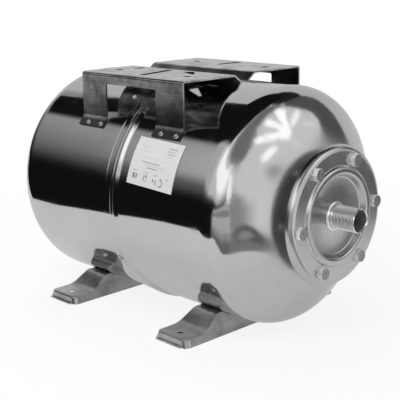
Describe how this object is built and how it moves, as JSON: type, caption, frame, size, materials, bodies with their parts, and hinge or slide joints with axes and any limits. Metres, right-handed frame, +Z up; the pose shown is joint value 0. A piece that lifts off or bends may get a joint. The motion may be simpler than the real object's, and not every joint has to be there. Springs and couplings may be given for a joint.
{
  "type": "horizontal pressure tank",
  "caption": "Horizontal stainless pressure tank with membrane, bolted counterflange with male pipe port, pressed feet and folded pump brackets on top.",
  "frame": {"origin": "on the floor, under the middle of the overall length and width", "axes": "+X along the tank towards the port, +Z up, near side of the picture towards -Y"},
  "size_m": [0.5036, 0.2754, 0.288],
  "materials": {
    "shell_steel": "mirror-polished stainless sheet with fine draw lines",
    "ring_steel": "turned steel",
    "flange_steel": "polished pressing",
    "nipple_steel": "turned and threaded",
    "bolt_steel": "bright zinc",
    "foot_steel": "satin pressing",
    "bracket_steel": "mill finish, cut edges bright",
    "boss_steel": "turned steel",
    "membrane_rubber": "matt",
    "seal_rubber": "matt",
    "valve_brass": "turned",
    "core_brass": "turned",
    "cap_plastic": "moulded, ribbed",
    "label_film": "satin film with plain grey bars"
  },
  "bodies": {
    "root": {"front_shell": "shell_steel", "rear_shell": "shell_steel", "neck_ring": "ring_steel", "membrane": "membrane_rubber", "counterflange": "flange_steel", "port_nipple": "nipple_steel", "flange_bolt_1": "bolt_steel", "flange_bolt_2": "bolt_steel", "flange_bolt_3": "bolt_steel", "flange_bolt_4": "bolt_steel", "flange_bolt_5": "bolt_steel", "flange_bolt_6": "bolt_steel", "front_foot": "foot_steel", "rear_foot": "foot_steel", "near_pump_bracket": "bracket_steel", "far_pump_bracket": "bracket_steel", "air_valve_boss": "boss_steel", "air_valve_seal": "seal_rubber", "air_valve_body": "valve_brass", "air_valve_core": "core_brass", "air_valve_cap": "cap_plastic", "data_label": "label_film"}
  },
  "joints": []
}
